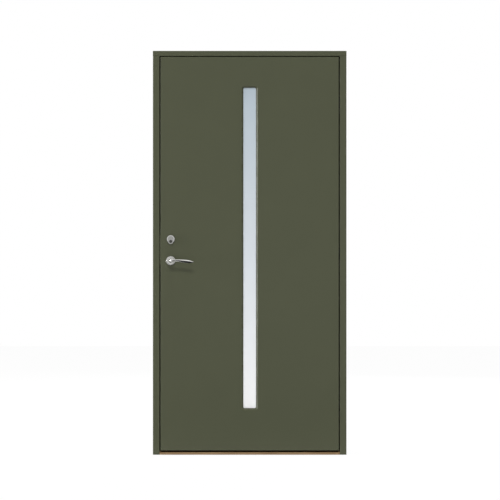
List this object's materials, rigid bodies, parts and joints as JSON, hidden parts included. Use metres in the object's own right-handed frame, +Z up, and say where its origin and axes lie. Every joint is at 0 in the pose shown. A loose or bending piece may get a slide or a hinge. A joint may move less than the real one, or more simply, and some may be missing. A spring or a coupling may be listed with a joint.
{
  "type": "front door with frame",
  "caption": "Flush painted front door with a narrow upright glazed slot, lever handle and cylinder lock, hung on concealed hinges in a timber frame with an oak threshold",
  "frame": {"origin": "middle of the threshold's underside, half way through the frame's depth", "axes": "-Y faces outdoors, +X runs to the hinge side as seen from outdoors, +Z is up"},
  "size_m": [0.99, 0.1724, 2.065],
  "materials": {
    "olive_paint": "satin olive paint on timber and fibreboard",
    "olive_steel": "satin olive paint on steel strip",
    "oiled_oak": "oiled oak",
    "bare_pine": "planed pine",
    "foam_core": "rigid insulation foam",
    "clear_glass": "float glass, the outer pane satin-etched",
    "spacer_aluminium": "folded spacer bar",
    "black_rubber": "matt extruded rubber",
    "satin_steel": "satin stainless steel",
    "zinc_steel": "zinc-plated steel"
  },
  "bodies": {
    "frame": {"frame_head": "olive_paint", "lock_jamb": "olive_paint", "hinge_jamb": "olive_paint", "lock_stop": "olive_paint", "hinge_stop": "olive_paint", "threshold": "oiled_oak", "head_seal": "black_rubber", "lock_jamb_seal": "black_rubber", "hinge_jamb_seal": "black_rubber", "threshold_seal": "black_rubber", "frame_screws": "zinc_steel", "frame_sleeves": "zinc_steel", "strike_plate": "satin_steel", "hinge_cup_bottom": "zinc_steel", "hinge_cup_middle": "zinc_steel", "hinge_cup_top": "zinc_steel", "hinge_pins": "zinc_steel"},
    "leaf": {"outer_skin": "olive_paint", "inner_skin": "olive_paint", "lock_stile": "bare_pine", "hinge_stile": "bare_pine", "top_rail": "bare_pine", "bottom_rail": "bare_pine", "lock_side_core": "foam_core", "hinge_side_core": "foam_core", "slot_studs": "bare_pine", "outer_bead": "olive_paint", "inner_bead": "olive_paint", "outer_gasket": "black_rubber", "inner_gasket": "black_rubber", "outer_pane": "clear_glass", "middle_pane": "clear_glass", "inner_pane": "clear_glass", "outer_spacer": "spacer_aluminium", "inner_spacer": "spacer_aluminium", "setting_blocks": "black_rubber", "hinge_arm_bottom": "zinc_steel", "hinge_arm_middle": "zinc_steel", "hinge_arm_top": "zinc_steel", "leaf_screws": "zinc_steel", "lock_case": "zinc_steel", "lock_forend": "satin_steel", "latch_guard": "olive_steel", "outer_rose": "satin_steel", "inner_rose": "satin_steel", "through_bolts": "zinc_steel", "cylinder_ring": "satin_steel", "cylinder_body": "satin_steel", "thumbturn_rose": "satin_steel"},
    "handle_set": {"outer_lever": "satin_steel", "inner_lever": "satin_steel", "spindle": "zinc_steel", "follower": "zinc_steel", "lever_set_screws": "zinc_steel"},
    "latch": {"latch_bolt": "satin_steel"},
    "snib": {"latch_snib": "satin_steel"},
    "dead_bolt": {"dead_bolt": "satin_steel"},
    "thumbturn": {"thumbturn": "satin_steel", "bolt_cam": "zinc_steel"},
    "key_plug": {"key_plug": "satin_steel"}
  },
  "joints": [
    {"name": "door_swing", "type": "hinge", "parent": "frame", "child": "leaf", "pos_m": [0.4795, -0.0395, 0], "axis": [0, 0, 1], "range_deg": [0, 105]},
    {"name": "handle_turn", "type": "hinge", "parent": "leaf", "child": "handle_set", "pos_m": [-0.4035, -0.0215, 0.992], "axis": [0, 1, 0], "range_deg": [0, 45], "stiffness_Nm_per_rad": 2, "springref_deg": -20.05},
    {"name": "latch_slide", "type": "slide", "parent": "leaf", "child": "latch", "axis": [-1, 0, 0], "range_m": [0, 0.012]},
    {"name": "snib_slide", "type": "slide", "parent": "leaf", "child": "snib", "axis": [0, 0, 1], "range_m": [0, 0.005]},
    {"name": "thumb_turn", "type": "hinge", "parent": "leaf", "child": "thumbturn", "pos_m": [-0.4035, 0, 1.0905], "axis": [0, 1, 0], "range_deg": [0, 90]},
    {"name": "bolt_slide", "type": "slide", "parent": "leaf", "child": "dead_bolt", "axis": [-1, 0, 0], "range_m": [0, 0.02]},
    {"name": "key_turn", "type": "hinge", "parent": "leaf", "child": "key_plug", "pos_m": [-0.4035, -0.05, 1.0905], "axis": [0, -1, 0], "range_deg": [0, 90]}
  ],
  "couplings": [
    {"joint": "thumb_turn", "follows": "bolt_slide", "rad_per_m": 78.5}
  ]
}
